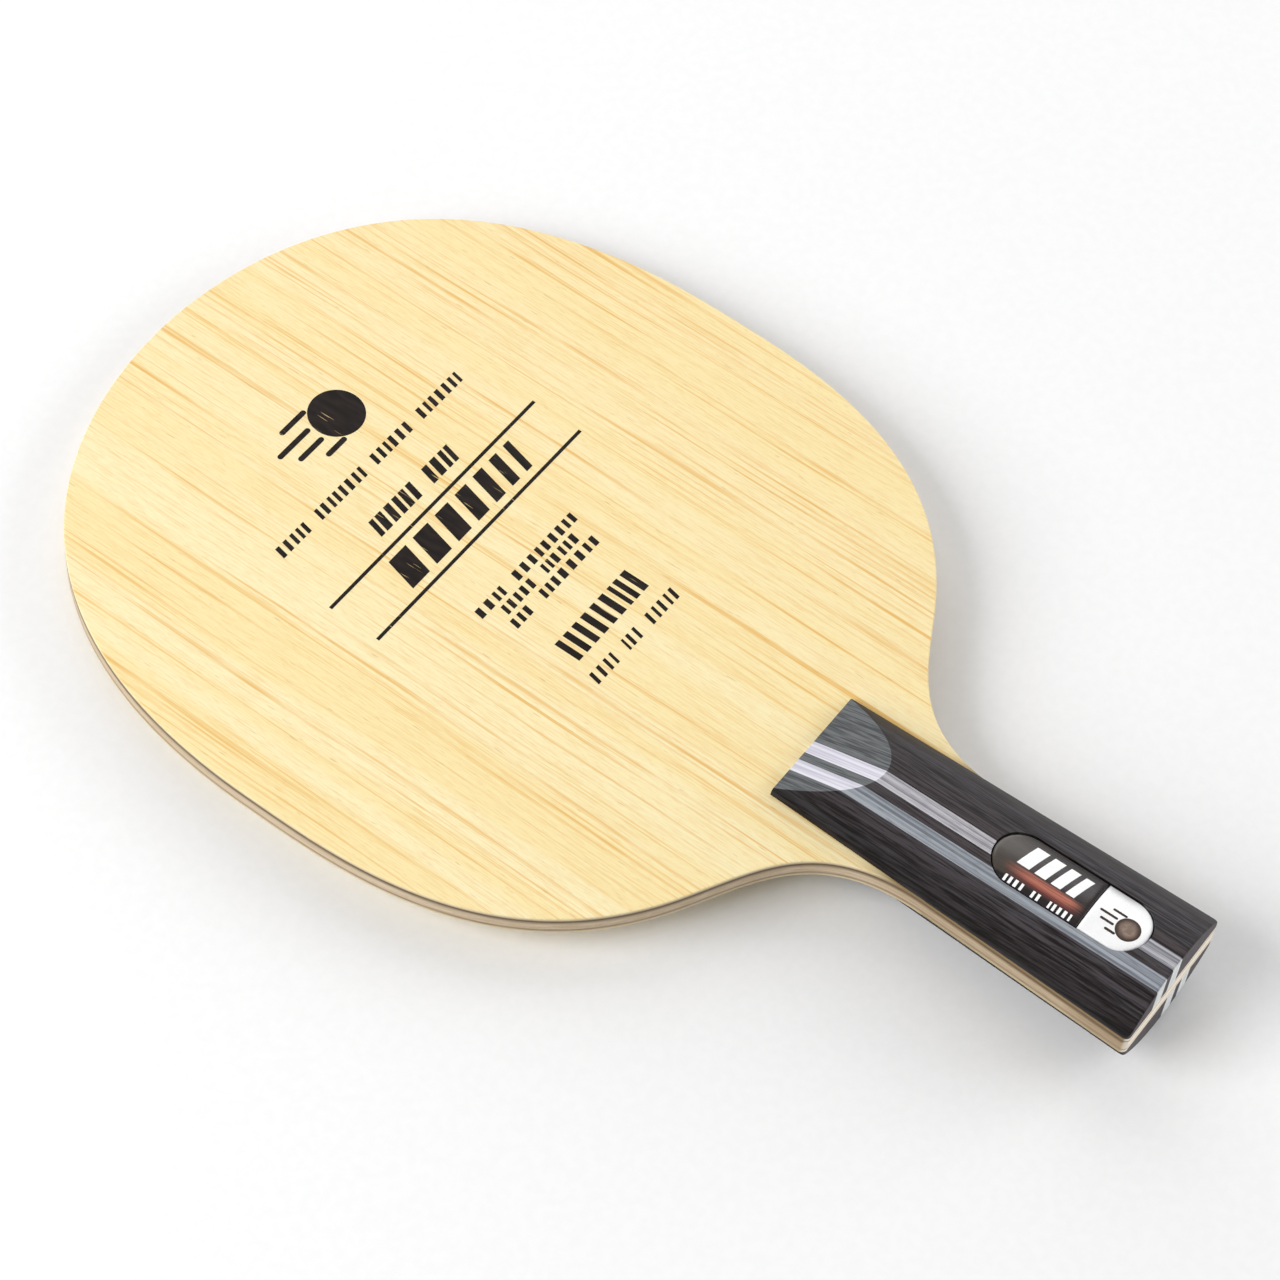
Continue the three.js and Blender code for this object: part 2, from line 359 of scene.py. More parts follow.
def strip_mesh(low_x, high_x):
    """A strip of the handle block between two glue lines. None stands for the handle's side."""
    bm = bmesh.new()
    rings = [add_ring(bm, strip_section(low_x, high_x, y)) for y in stations()]
    for lower, upper in zip(rings, rings[1:]):
        bridge(bm, lower, upper)
    bm.faces.new(rings[0])
    bm.faces.new(rings[-1])
    bmesh.ops.recalc_face_normals(bm, faces=bm.faces)
    cut_ramp(bm)
    return bm


def capsule(inset):
    """The badge's plan, anticlockwise, drawn in from the pocket's wall by inset."""
    radius = BADGE_RADIUS - inset
    reach = BADGE_LENGTH / 2 - BADGE_RADIUS
    upper = arc(Vector((BADGE_X, BADGE_Y + reach)), radius, 0, math.pi, ARC_STEPS)
    lower = arc(Vector((BADGE_X, BADGE_Y - reach)), radius, math.pi, 2 * math.pi, ARC_STEPS)
    return upper + lower


def cut_pocket(piece):
    """Cuts the badge's pocket out of a strip of the front block."""
    bm = bmesh.new()
    plan = capsule(0)
    floor_ring = add_ring(bm, [(p.x, p.y, FACE_Z + POCKET_FLOOR) for p in plan])
    top_ring = add_ring(bm, [(p.x, p.y, CAD_HIGH.z + MM) for p in plan])
    bridge(bm, floor_ring, top_ring)
    bm.faces.new(floor_ring)
    bm.faces.new(top_ring)
    cutter = mesh_object("pocket_cutter", bm)
    boolean = piece.modifiers.new("pocket", "BOOLEAN")
    boolean.operation = "DIFFERENCE"
    boolean.solver = "EXACT"
    boolean.object = cutter
    graph = bpy.context.evaluated_depsgraph_get()
    cut = bpy.data.meshes.new_from_object(piece.evaluated_get(graph))
    piece.modifiers.remove(boolean)
    bpy.data.objects.remove(cutter)
    bm = bmesh.new()
    bm.from_mesh(cut)
    bmesh.ops.remove_doubles(bm, verts=bm.verts, dist=WELD)
    name = piece.name
    bpy.data.objects.remove(piece)
    return mesh_object(name, bm)


def handle_strip(side, name, low_x, high_x):
    """One strip of a handle block, on the front (side 1) or turned over onto the back (side -1)."""
    bm = strip_mesh(low_x, high_x)
    bmesh.ops.translate(bm, verts=bm.verts, vec=(0, 0, FACE_Z))
    if side < 0:
        bmesh.ops.rotate(bm, verts=bm.verts, matrix=Matrix.Rotation(math.pi, 3, "Y"))
    piece = mesh_object(name, bm)
    pocket_low, pocket_high = BADGE_X - BADGE_RADIUS, BADGE_X + BADGE_RADIUS
    touches = (high_x is None or high_x > pocket_low) and (low_x is None or low_x < pocket_high)
    if side > 0 and touches:
        piece = cut_pocket(piece)
    keep_flats_flat(piece)
    return piece


# ---- Badge ----


def panel_ring(inset, way):
    """A panel's plan, D-shaped: way 1 for the one towards the head, -1 for the one at the butt."""
    radius = BADGE_RADIUS - BADGE_GAP - inset
    centre_y = BADGE_Y + way * (BADGE_LENGTH / 2 - BADGE_RADIUS)
    joint = JOINT_HIGH_Y + inset if way > 0 else JOINT_LOW_Y - inset
    points = []
    for i in range(SIDE_STEPS):
        points.append(Vector((BADGE_X + radius, lerp(joint, centre_y, i / SIDE_STEPS))))
    points += arc(Vector((BADGE_X, centre_y)), radius, 0, way * math.pi, ARC_STEPS)
    for i in range(1, SIDE_STEPS):
        points.append(Vector((BADGE_X - radius, lerp(centre_y, joint, i / SIDE_STEPS))))
    for i in range(JOINT_STEPS):
        points.append(Vector((lerp(BADGE_X - radius, BADGE_X + radius, i / JOINT_STEPS), joint)))
    return points


def badge_surface(x, y):
    """Height of the badge's upper surface in the model's frame, before its edges round over."""
    return FACE_Z + crown_height(x, y) - BADGE_SINK


def skin(bm, plans, drop, domed):
    """Nested rings, a drop below the badge's surface, and the fill inside. Returns the outer ring.

    plans holds each ring's inset and outline. A domed skin rounds over at its edge.
    """
    rings = []
    for inset, plan in plans:
        fall = eased(inset, DOME_REACH, DOME_DEPTH) if domed else 0.0
        points = [(p.x, p.y, badge_surface(p.x, p.y) - drop - fall) for p in plan]
        rings.append(add_ring(bm, points))
    for outer, inner in zip(rings, rings[1:]):
        bridge(bm, outer, inner)
    bm.faces.new(rings[-1])
    return rings[0]


def badge_panel(name, way):
    """One printed panel, with a rounded-over edge, following the crown."""
    shares = (0, 0.01, 0.03, 0.07, 0.12, 0.2, 0.3, 0.42, 0.55, 0.7, 0.84, 0.95)
    plans = [(share * DEEPEST_INSET, panel_ring(share * DEEPEST_INSET, way)) for share in shares]
    bm = bmesh.new()
    top = skin(bm, plans, 0.0, True)
    bottom = skin(bm, plans, PANEL_THICKNESS, False)
    bridge(bm, top, bottom)
    piece = mesh_object(name, bm)
    keep_flats_flat(piece)
    return piece


def badge_backing(name):
    """The black plate under both panels, which stands on the pocket's floor."""
    insets = [inset * MM for inset in (0, 0.4, 1, 1.8, 2.8, 3.8, 4.8)] + [DEEPEST_INSET]
    plans = [(inset, capsule(BADGE_GAP + inset)) for inset in insets]
    bm = bmesh.new()
    top = skin(bm, plans, PANEL_THICKNESS, False)
    floor_ring = add_ring(bm, [(v.co.x, v.co.y, FACE_Z + POCKET_FLOOR) for v in top])
    bridge(bm, floor_ring, top)
    bm.faces.new(floor_ring)
    return mesh_object(name, bm)


# ---- Printed marks ----

INK_THICKNESS = 0.02 * MM
INK_ROOT = 0.02 * MM  # how far a mark's underside lies below the surface it is on
SLANT = 0.25  # of the larger bars: how far they lean over their height
BALL_SHARE = 0.44  # a ball's radius over its emblem's height
BALL_X, BALL_Y = -0.5 * MM, -110.25 * MM  # the middle of the badge's ball
LARGE_BARS_X, LARGE_BARS_Y = 1.7 * MM, -93 * MM  # the middle of the badge's large white bars
SMALL_BARS_X, SMALL_BARS_Y = -4.7 * MM, -93.3 * MM  # and of its small ones


def slanted_bar(x, y, width, height, slant):
    """An upright bar whose foot's left end is at x, y, leaning right by slant."""
    lean = height * slant
    return [Vector((x, y)), Vector((x + width, y)),
            Vector((x + width + lean, y + height)), Vector((x + lean, y + height))]


def rounded_bar(x, y, length, thickness):
    """A horizontal bar with round ends, starting at x, with its middle line at y."""
    radius = thickness / 2
    left = Vector((x + radius, y))
    right = Vector((x + length - radius, y))
    return (arc(left, radius, math.pi / 2, 3 * math.pi / 2, BAR_END_STEPS)
            + arc(right, radius, -math.pi / 2, math.pi / 2, BAR_END_STEPS))


def disc(x, y, radius):
    return arc(Vector((x, y)), radius, 0, 2 * math.pi, DISC_STEPS)[:-1]


def ball_in_flight(x, y, length, height):
    """A plain disc with four thin speed lines behind it, centred on x, y."""
    radius = height * BALL_SHARE
    line = height * 0.09
    gap = height * 0.06
    ball_x = x + length / 2 - radius
    marks = [disc(ball_x, y, radius)]
    lines = ((0.39, 0.22), (0.13, 0.0), (-0.13, 0.1), (-0.39, 0.3))  # shares of height and length
    for rise, start in lines:
        left = x - length / 2 + length * start
        right = ball_x - math.sqrt(radius**2 - (rise * height) ** 2) - gap
        marks.append(rounded_bar(left, y + rise * height, right - left, line))
    return marks


def bar_row(left, right, y, height, words, weight, slant, seed):
    """A row of slanted bars in groups, from left to right, in place of a line of print."""
    draw = random.Random(seed)
    word_gap = 1.3  # in bars of average width, as are the cells
    cells = []
    for count in words:
        cells += [draw.uniform(0.75, 1.25) for _ in range(count)] + [None]
    cells.pop()
    total = sum(word_gap if cell is None else cell for cell in cells)
    unit = (right - left - height * slant) / total
    marks = []
    x = left
    for cell in cells:
        if cell is not None:
            marks.append(slanted_bar(x, y, cell * unit * weight, height, slant))
        x += unit * (word_gap if cell is None else cell)
    return marks


def tapering_bars(left, right, y, height, count, slant):
    """Slanted bars that grow thinner from left to right."""
    taper, gap = 0.11, 0.42  # in widths of the first bar
    widths = [1 - taper * i for i in range(count)]
    unit = (right - left - height * slant) / (sum(widths) + gap * (count - 1))
    marks = []
    x = left
    for width in widths:
        marks.append(slanted_bar(x, y, width * unit, height, slant))
        x += (width + gap) * unit
    return marks


def print_piece(name, marks, surface, bend_step):
    """Thin ink shapes laid on a surface. bend_step cuts them up along X so that they can follow it."""
    bm = bmesh.new()
    for mark in marks:
        low = add_ring(bm, [(p.x, p.y, -INK_ROOT) for p in mark])
        high = add_ring(bm, [(p.x, p.y, INK_THICKNESS) for p in mark])
        bridge(bm, low, high)
        bm.faces.new(low)
        bm.faces.new(high)
    if bend_step:
        xs = [v.co.x for v in bm.verts]
        cut_x = math.floor(min(xs) / bend_step) * bend_step
        while cut_x < max(xs):
            cut_x += bend_step
            geometry = bm.verts[:] + bm.edges[:] + bm.faces[:]
            bmesh.ops.bisect_plane(bm, geom=geometry, plane_co=(cut_x, 0, 0), plane_no=(1, 0, 0))
    for vert in bm.verts:
        vert.co.z += surface(vert.co.x, vert.co.y)
    return mesh_object(name, bm)


def face_marks():
    """The print on the front face: an emblem, two rules and rows of bars."""
    emblem_y, emblem_length, emblem_height = 80.5 * MM, 22 * MM, 13.4 * MM
    rule_left, rule_right, rule_height = -32.5 * MM, 32.5 * MM, 0.75 * MM
    upper_rule_y, lower_rule_y = 51.7 * MM, 40.1 * MM
    name_left, name_right, name_foot, name_height = -18.8 * MM, 21.4 * MM, 42.2 * MM, 7.6 * MM
    rows = [  # left, right, foot, height (mm), bars per group, ink share, slant
        (-29, 29, 66.1, 2.7, (5, 8, 6, 7), 0.5, 0.2),
        (-13, 13.4, 54.6, 4.2, (6, 4), 0.66, SLANT),
        (-16, 16, 27.3, 2.3, (4, 9), 0.52, 0.15),
        (-12, 12.4, 24.0, 2.3, (5, 6), 0.52, 0.15),
        (-13.5, 14.4, 20.6, 2.3, (3, 8), 0.52, 0.15),
        (-12, 12, 6.9, 6.0, (9,), 0.56, 0.0),
        (-14, 14.2, 0.7, 2.8, (4, 3, 5), 0.42, 0.2),
    ]

    marks = ball_in_flight(0, emblem_y, emblem_length, emblem_height)
    for rule_y in (upper_rule_y, lower_rule_y):
        painted_foot_shade = rule_y - rule_height / 2
        marks.append(slanted_bar(rule_left, painted_foot_shade, rule_right - rule_left, rule_height, 0))
    marks += tapering_bars(name_left, name_right, name_foot, name_height, 7, SLANT)
    for seed, (left, right, painted_foot_shade, height, words, weight, slant) in enumerate(rows):
        marks += bar_row(left * MM, right * MM, painted_foot_shade * MM, height * MM, words, weight, slant, seed)
    return marks


def turned_along_badge(marks):
    """Marks drawn upright about the origin, turned so that they read from the head to the butt."""
    return [[Vector((point.y, -point.x)) for point in mark] for mark in marks]


def moved(marks, x, y):
    return [[point + Vector((x, y)) for point in mark] for mark in marks]


def badge_bar_marks():
    """White bars on the dark panel, and a row of small ones along its edge."""
    large_reach, large_height = 7 * MM, 5.4 * MM
    small_reach, small_height = 7.6 * MM, 1.4 * MM
    large = tapering_bars(-large_reach, large_reach, -large_height / 2, large_height, 4, SLANT)
    small = bar_row(-small_reach, small_reach, -small_height / 2, small_height, (4, 2, 5), 0.5, 0.0, 11)
    return (moved(turned_along_badge(large), LARGE_BARS_X, LARGE_BARS_Y)
            + moved(turned_along_badge(small), SMALL_BARS_X, SMALL_BARS_Y))


def badge_ball_marks():
    """A small ball in flight on the light panel, its ball's middle at BALL_X, BALL_Y."""
    length, height = 9 * MM, 5.6 * MM
    emblem = ball_in_flight(BALL_SHARE * height - length / 2, 0, length, height)
    return moved(turned_along_badge(emblem), BALL_X, BALL_Y)


# ---- Material helpers ----


def srgb(red, green, blue):
    """Linear colour from 8-bit display values."""
    linear = []
    for level in (red, green, blue):
        value = level / 255
        linear.append(value / 12.92 if value <= 0.04045 else ((value + 0.055) / 1.055) ** 2.4)
    return (*linear, 1.0)


def node(tree, kind, inputs=None, **settings):
    """Adds a node. An input is a value, or a socket to link from."""
    made = tree.nodes.new(kind)
    for key, value in settings.items():
        setattr(made, key, value)
    for key, value in (inputs or {}).items():
        if isinstance(value, bpy.types.NodeSocket):
            tree.links.new(value, made.inputs[key])
        else:
            made.inputs[key].default_value = value
    return made


def maths(tree, operation, a, b=0.0):
    return node(tree, "ShaderNodeMath", {0: a, 1: b}, operation=operation).outputs[0]


def mixed(tree, share, a, b):
    """Colour a turning into colour b as share goes from 0 to 1."""
    return node(tree, "ShaderNodeMix", {0: share, 6: a, 7: b}, data_type="RGBA").outputs[2]


def between(tree, value, low, high, to_low=0.0, to_high=1.0):
    """value's smooth way from low to high, as a number from to_low to to_high."""
    inputs = {"Value": value, "From Min": low, "From Max": high, "To Min": to_low, "To Max": to_high}
    return node(tree, "ShaderNodeMapRange", inputs, interpolation_type="SMOOTHSTEP").outputs[0]


def millimetres(tree):
    """The point being shaded, in the model's frame, in millimetres."""
    place = node(tree, "ShaderNodeTexCoord").outputs["Object"]
    return node(tree, "ShaderNodeVectorMath", {0: place, "Scale": 1 / MM}, operation="SCALE").outputs[0]


def parts_of(tree, vector):
    return node(tree, "ShaderNodeSeparateXYZ", {0: vector}).outputs


def noise(tree, place, size, detail=2.0, roughness=0.5, shift=0.0):
    """Noise with features of about size = (x, y, z) millimetres. shift picks a part of its pattern."""
    scale = tuple(1 / length for length in size)
    inputs = {"Vector": place, "Location": (shift, shift * 1.7, shift * 0.6), "Scale": scale}
    placed = node(tree, "ShaderNodeMapping", inputs).outputs[0]
    inputs = {"Vector": placed, "Scale": 1.0, "Detail": detail, "Roughness": roughness}
    return node(tree, "ShaderNodeTexNoise", inputs).outputs["Fac"]


def wavering(tree, place, amount, length):
    """The same place pushed sideways, so that the grain drifts by amount over length (mm)."""
    push = noise(tree, place, (length / 3, length, length / 3), 1.0, shift=3.1)
    offset = maths(tree, "MULTIPLY", maths(tree, "SUBTRACT", push, 0.5), 2 * amount)
    vector = node(tree, "ShaderNodeCombineXYZ", {"X": offset}).outputs[0]
    return node(tree, "ShaderNodeVectorMath", {0: place, 1: vector}, operation="ADD").outputs[0]


def new_material(name, **values):
    """A material with its Principled shader's plain values set, and its tree."""
    material = bpy.data.materials.new(name)
    material.use_nodes = True
    tree = material.node_tree
    shader = tree.nodes["Principled BSDF"]
    for key, value in values.items():
        shader.inputs[key.replace("_", " ")].default_value = value
    return material, tree, shader


def finish_material(tree, shader, colour, roughness, height, depth):
    """Links colour, roughness and a bump of the given depth (m) into the shader."""
    tree.links.new(colour, shader.inputs["Base Color"])
    tree.links.new(roughness, shader.inputs["Roughness"])
    bump = node(tree, "ShaderNodeBump", {"Height": height, "Distance": depth, "Strength": 1.0})
    tree.links.new(bump.outputs[0], shader.inputs["Normal"])


# ---- Materials ----
# Noise sizes, and the places where a mark begins and ends, are in millimetres in the model's frame.

# Windows of a noise's value over which one tone turns into the other: the narrower, the crisper
SOFT = (0.3, 0.7)
FIRM = (0.35, 0.65)

# How much the shaders reflect, and how deep their bumps are
WOOD_SPECULAR = 0.3
INK_SPECULAR = 0.2
VENEER_BUMP = 0.01 * MM
CORE_BUMP = 0.02 * MM
DARK_WOOD_BUMP = 0.02 * MM
GREY_WOOD_BUMP = 0.015 * MM
FINE_BUMP = 0.01 * MM  # carbon, backing plate and floor
DARK_PANEL_BUMP = 0.002 * MM
PRINT_BUMP = 0.004 * MM  # white panel and inks

# How far the veneer's grain wanders sideways and over which length, in millimetres. Ink follows it.
VENEER_DRIFT = (0.7, 70)


def veneer_material():
    """Pale cream face veneer: faint broad bands, long thin straw lines, short streaks and flecks."""
    pale_left, pale_right, band = srgb(247, 233, 187), srgb(247, 228, 177), srgb(246, 227, 172)
    straw, strong_straw = srgb(230, 181, 98), srgb(235, 188, 108)
    thread, streak, fleck = srgb(233, 197, 126), srgb(233, 192, 120), srgb(200, 156, 104)
    sanded_edge = srgb(204, 188, 160)

    material, tree, shader = new_material("face_veneer", Specular_IOR_Level=WOOD_SPECULAR)
    place = wavering(tree, millimetres(tree), *VENEER_DRIFT)
    bands = noise(tree, place, (6, 260, 6), 1.0, shift=1.3)
    strong = noise(tree, place, (1.1, 170, 1.1), 1.0, shift=4.4)
    lines = noise(tree, place, (0.9, 110, 0.9), 3.0, 0.6, shift=7.7)
    breaks = noise(tree, place, (2, 16, 2), 1.0, shift=8.8)
    threads = noise(tree, place, (0.4, 14, 0.4), 2.0, 0.6, shift=2.9)
    streaks = noise(tree, place, (0.24, 2.4, 0.24), 2.0, shift=5.2)
    flecks = noise(tree, place, (0.4, 4, 0.4), 1.0, shift=9.4)

    x = parts_of(tree, place)[0]
    pale = mixed(tree, between(tree, x, -20, 70), pale_left, pale_right)
    colour = mixed(tree, between(tree, bands, 0.36, 0.64), pale, band)
    line_share = maths(tree, "MULTIPLY", between(tree, lines, 0.51, 0.7),
                       between(tree, breaks, 0.3, 0.65, 0.35, 0.95))
    colour = mixed(tree, line_share, colour, straw)
    colour = mixed(tree, between(tree, strong, 0.65, 0.77, 0, 0.5), colour, strong_straw)
    colour = mixed(tree, between(tree, threads, 0.48, 0.74, 0, 0.5), colour, thread)
    colour = mixed(tree, between(tree, streaks, 0.4, 0.8, 0, 0.4), colour, streak)
    colour = mixed(tree, between(tree, flecks, 0.7, 0.8, 0, 0.45), colour, fleck)
    colour = mixed(tree, side_mask(tree), colour, sanded_edge)
    colour = with_edge_marks(tree, colour)

    roughness = between(tree, lines, 0.4, 0.75, 0.52, 0.66)
    height = maths(tree, "ADD", streaks, maths(tree, "MULTIPLY", lines, 1.5))
    finish_material(tree, shader, colour, roughness, height, VENEER_BUMP)
    return material


def side_mask(tree):
    """How much a surface faces sideways: the sanded edges of the plies."""
    normal = node(tree, "ShaderNodeTexCoord").outputs["Normal"]
    upward = maths(tree, "ABSOLUTE", parts_of(tree, normal)[2])
    return between(tree, upward, 0.7, 0.2, 0, 0.75)


def painted_shade_by_handle(tree):
    """Painted shade on the blade's side beside the handle: darkest just under the front block, fainter
    along the handle, and darker again towards the butt.
    """
    x, y, z = parts_of(tree, millimetres(tree))
    under = maths(tree, "MULTIPLY", between(tree, y, -60, -72), between(tree, z, 0.1, 2.2, 0, 0.85))
    along_handle = between(tree, y, -58, -76, 0, 0.3)
    butt_end = between(tree, y, -98, -114, 0, 0.5)
    spread_out = maths(tree, "MAXIMUM", along_handle, butt_end)
    outside = between(tree, maths(tree, "ABSOLUTE", x), 11.5, 13)
    return maths(tree, "MULTIPLY", maths(tree, "MAXIMUM", under, spread_out), outside)


def dust_line(tree, z, *, rise, fall, strength):
    """Dust round a carbon ply: rise and fall are the heights (mm) over which it comes and goes."""
    there = maths(tree, "MULTIPLY", between(tree, z, *rise), between(tree, z, *fall))
    return maths(tree, "MULTIPLY", there, strength)


def carbon_dust(tree):
    """Dust that sanding has smeared from the carbon plies onto the wood just beside them."""
    z = parts_of(tree, millimetres(tree))[2]
    upper = dust_line(tree, z, rise=(0.3, 1.4), fall=(2.2, 1.6), strength=0.75)
    lower = dust_line(tree, z, rise=(-0.9, -1.4), fall=(-2.1, -1.6), strength=0.45)
    return maths(tree, "ADD", upper, lower)


def with_edge_marks(tree, colour):
    """The colour with carbon dust and painted shade on the blade's edges, and a painted highlight on the
    butt's end.
    """
    # the second colour is painted shade on the blade's side beside the handle, the third a painted
    # highlight on the butt's end
    dust, handle_shade_colour, end_grain_highlight = srgb(78, 57, 30), srgb(106, 80, 42), srgb(240, 229, 212)
    y = parts_of(tree, millimetres(tree))[1]
    colour = mixed(tree, carbon_dust(tree), colour, dust)
    # painted shade on the blade's side beside the handle
    colour = mixed(tree, painted_shade_by_handle(tree), colour, handle_shade_colour)
    # painted highlight on the blade's butt end
    return mixed(tree, between(tree, y, -120.4, -121.3, 0, 0.9), colour, end_grain_highlight)


def core_material():
    """Tan core wood, of which only the sanded edge shows."""
    light, dark, pore = srgb(208, 190, 164), srgb(188, 167, 138), srgb(150, 120, 90)
    material, tree, shader = new_material("core_wood", Specular_IOR_Level=WOOD_SPECULAR)
    place = millimetres(tree)
    layers = noise(tree, place, (3, 40, 0.35), 3.0, 0.6, shift=1.1)
    pores = noise(tree, place, (0.3, 2.5, 0.18), 2.0, shift=4.6)
    colour = mixed(tree, between(tree, layers, *SOFT), light, dark)
    colour = mixed(tree, between(tree, pores, 0.55, 0.8, 0, 0.5), colour, pore)
    colour = with_edge_marks(tree, colour)
    roughness = between(tree, pores, 0.3, 0.8, 0.62, 0.8)
    finish_material(tree, shader, colour, roughness, pores, CORE_BUMP)
    return material


def carbon_material():
    """Dark brown carbon fibre and resin, a thin line in the edge. Sawdust half hides the lower one."""
    dark, light, sawdust = srgb(54, 40, 26), srgb(108, 84, 56), srgb(172, 146, 116)
    material, tree, shader = new_material("carbon_ply", Specular_IOR_Level=0.5)
    place = millimetres(tree)
    tows = noise(tree, place, (1.2, 1.2, 0.08), 2.0, shift=2.2)
    patches = noise(tree, place, (5, 5, 5), 2.0, shift=7.1)
    colour = mixed(tree, between(tree, tows, 0.35, 0.7), dark, light)
    lower_ply = between(tree, parts_of(tree, place)[2], 0.5, -0.5)
    covered = maths(tree, "MULTIPLY", between(tree, patches, 0.25, 0.6, 0.35, 0.75), lower_ply)
    colour = mixed(tree, covered, colour, sawdust)
    roughness = between(tree, tows, *SOFT, 0.4, 0.62)
    finish_material(tree, shader, colour, roughness, tows, FINE_BUMP)
    return material


def blended(tree, a, b, share):
    """A sum of two values, of which a has the given share."""
    return maths(tree, "ADD", maths(tree, "MULTIPLY", a, share), maths(tree, "MULTIPLY", b, 1 - share))


def finish_handle_wood(tree, shader, colour, lines, pores, depth):
    """Links the colour of dyed wood, and the roughness and bump of its grain, into the shader."""
    roughness = between(tree, lines, *SOFT, 0.45, 0.6)
    height = maths(tree, "SUBTRACT", maths(tree, "MULTIPLY", lines, 0.7), pores)
    finish_material(tree, shader, colour, roughness, height, depth)


def cut_masks(tree):
    """How much of a surface is cut across the fibres: on the ramp, and on the butt's end."""
    normal = node(tree, "ShaderNodeTexCoord").outputs["Normal"]
    along = parts_of(tree, normal)[1]
    ramp = between(tree, along, 0.12, 0.24)
    end = between(tree, maths(tree, "MULTIPLY", along, -1.0), 0.5, 0.9)
    return ramp, end


def dark_wood_material():
    """Charcoal dyed wood with dark brown and lighter grey lines, and painted shade that deepens towards
    the blade. The sanded ramp is greyer, partly from its cut grain and partly from painted sheen; the
    butt's end is lighter, partly from a painted highlight.
    """
    dark, light_brown, light_grey = srgb(30, 24, 25), srgb(72, 65, 67), srgb(76, 74, 78)
    # the second colour is painted shade for the block's lower sides
    pore, painted_foot_shade = srgb(20, 14, 14), srgb(12, 9, 7)
    # the ramp's colours: its sanded, cut-across grain, lightened with painted sheen
    ramp_cut_and_sheen_dark, ramp_cut_and_sheen_light = srgb(62, 65, 68), srgb(108, 111, 113)
    # the butt end's colours: its end grain, lightened with a painted highlight
    end_grain_and_highlight_dark, end_grain_and_highlight_light = srgb(46, 38, 40), srgb(82, 75, 79)

    material, tree, shader = new_material("handle_dark_wood", Specular_IOR_Level=WOOD_SPECULAR)
    place = wavering(tree, millimetres(tree), 0.25, 30)
    bands = noise(tree, place, (3.5, 160, 20), 1.0, shift=0.8)
    lines = noise(tree, place, (0.8, 70, 10), 4.0, 0.6, shift=12.9)
    fibres = noise(tree, place, (0.28, 9, 2.5), 2.0, 0.6, shift=2.7)
    pores = noise(tree, place, (0.22, 3.5, 1), 2.0, shift=8.3)
    dots = noise(tree, place, (0.13, 1, 0.13), 2.0, shift=3.9)
    ramp, end = cut_masks(tree)
    tone = between(tree, blended(tree, lines, fibres, 0.5), 0.4, 0.6)

    light = mixed(tree, between(tree, bands, *FIRM), light_brown, light_grey)
    colour = mixed(tree, tone, dark, light)
    colour = mixed(tree, between(tree, pores, 0.56, 0.76, 0, 0.75), colour, pore)
    # painted shade that deepens down the block's sides towards the blade
    above = maths(tree, "ABSOLUTE", parts_of(tree, place)[2])
    colour = mixed(tree, between(tree, above, 9, 3, 0, 0.65), colour, painted_foot_shade)
    # the ramp: cut grain, lightened with painted sheen
    colour = mixed(tree, ramp, colour, mixed(tree, tone, ramp_cut_and_sheen_dark, ramp_cut_and_sheen_light))
    # the butt's end: its end grain, lightened with a painted highlight
    end_tone = between(tree, blended(tree, dots, lines, 0.6), 0.38, 0.64)
    colour = mixed(tree, end, colour, mixed(tree, end_tone, end_grain_and_highlight_dark, end_grain_and_highlight_light))

    finish_handle_wood(tree, shader, colour, lines, pores, DARK_WOOD_BUMP)
    return material


def grey_wood_material(name, head_tones, butt_tones):
    """Blue-grey dyed wood of a stripe, with fine darker lines. The sanded ramp is far lighter, partly
    from its cut grain and partly from painted sheen; the butt's end is near white, partly from a painted
    highlight.

    head_tones and butt_tones are its light and dark colours near the ramp and at the butt. The change
    from one to the other is painted light and shade that evens out how the stripe is lit along its
    length.
    """
    pore = srgb(88, 91, 100)
    # the ramp's colours: its sanded, cut-across grain, lightened with painted sheen
    ramp_cut_and_sheen_dark, ramp_cut_and_sheen_light = srgb(190, 188, 200), srgb(222, 220, 230)
    # the butt end's colours: its end grain, lightened with a painted highlight
    end_grain_and_highlight_dark, end_grain_and_highlight_light = srgb(200, 204, 204), srgb(220, 222, 221)

    material, tree, shader = new_material(name, Specular_IOR_Level=WOOD_SPECULAR)
    place = wavering(tree, millimetres(tree), 0.2, 30)
    lines = noise(tree, place, (0.45, 70, 9), 4.0, 0.6, shift=31.9)
    pores = noise(tree, place, (0.2, 3.5, 1), 2.0, shift=1.9)
    # painted light and shade that changes along the stripe towards the butt
    painted_light_shift_to_butt = between(tree, parts_of(tree, place)[1], -102, -116)
    tone = between(tree, lines, 0.38, 0.62)
    ramp, end = cut_masks(tree)

    light = mixed(tree, painted_light_shift_to_butt, head_tones[0], butt_tones[0])
    dark = mixed(tree, painted_light_shift_to_butt, head_tones[1], butt_tones[1])
    colour = mixed(tree, tone, dark, light)
    colour = mixed(tree, between(tree, pores, 0.52, 0.76, 0, 0.55), colour, pore)
    # the ramp: cut grain, lightened with painted sheen
    colour = mixed(tree, ramp, colour, mixed(tree, tone, ramp_cut_and_sheen_dark, ramp_cut_and_sheen_light))
    # the butt's end: its end grain, lightened with a painted highlight
    colour = mixed(tree, end, colour, mixed(tree, tone, end_grain_and_highlight_dark, end_grain_and_highlight_light))

    finish_handle_wood(tree, shader, colour, lines, pores, GREY_WOOD_BUMP)
    return material


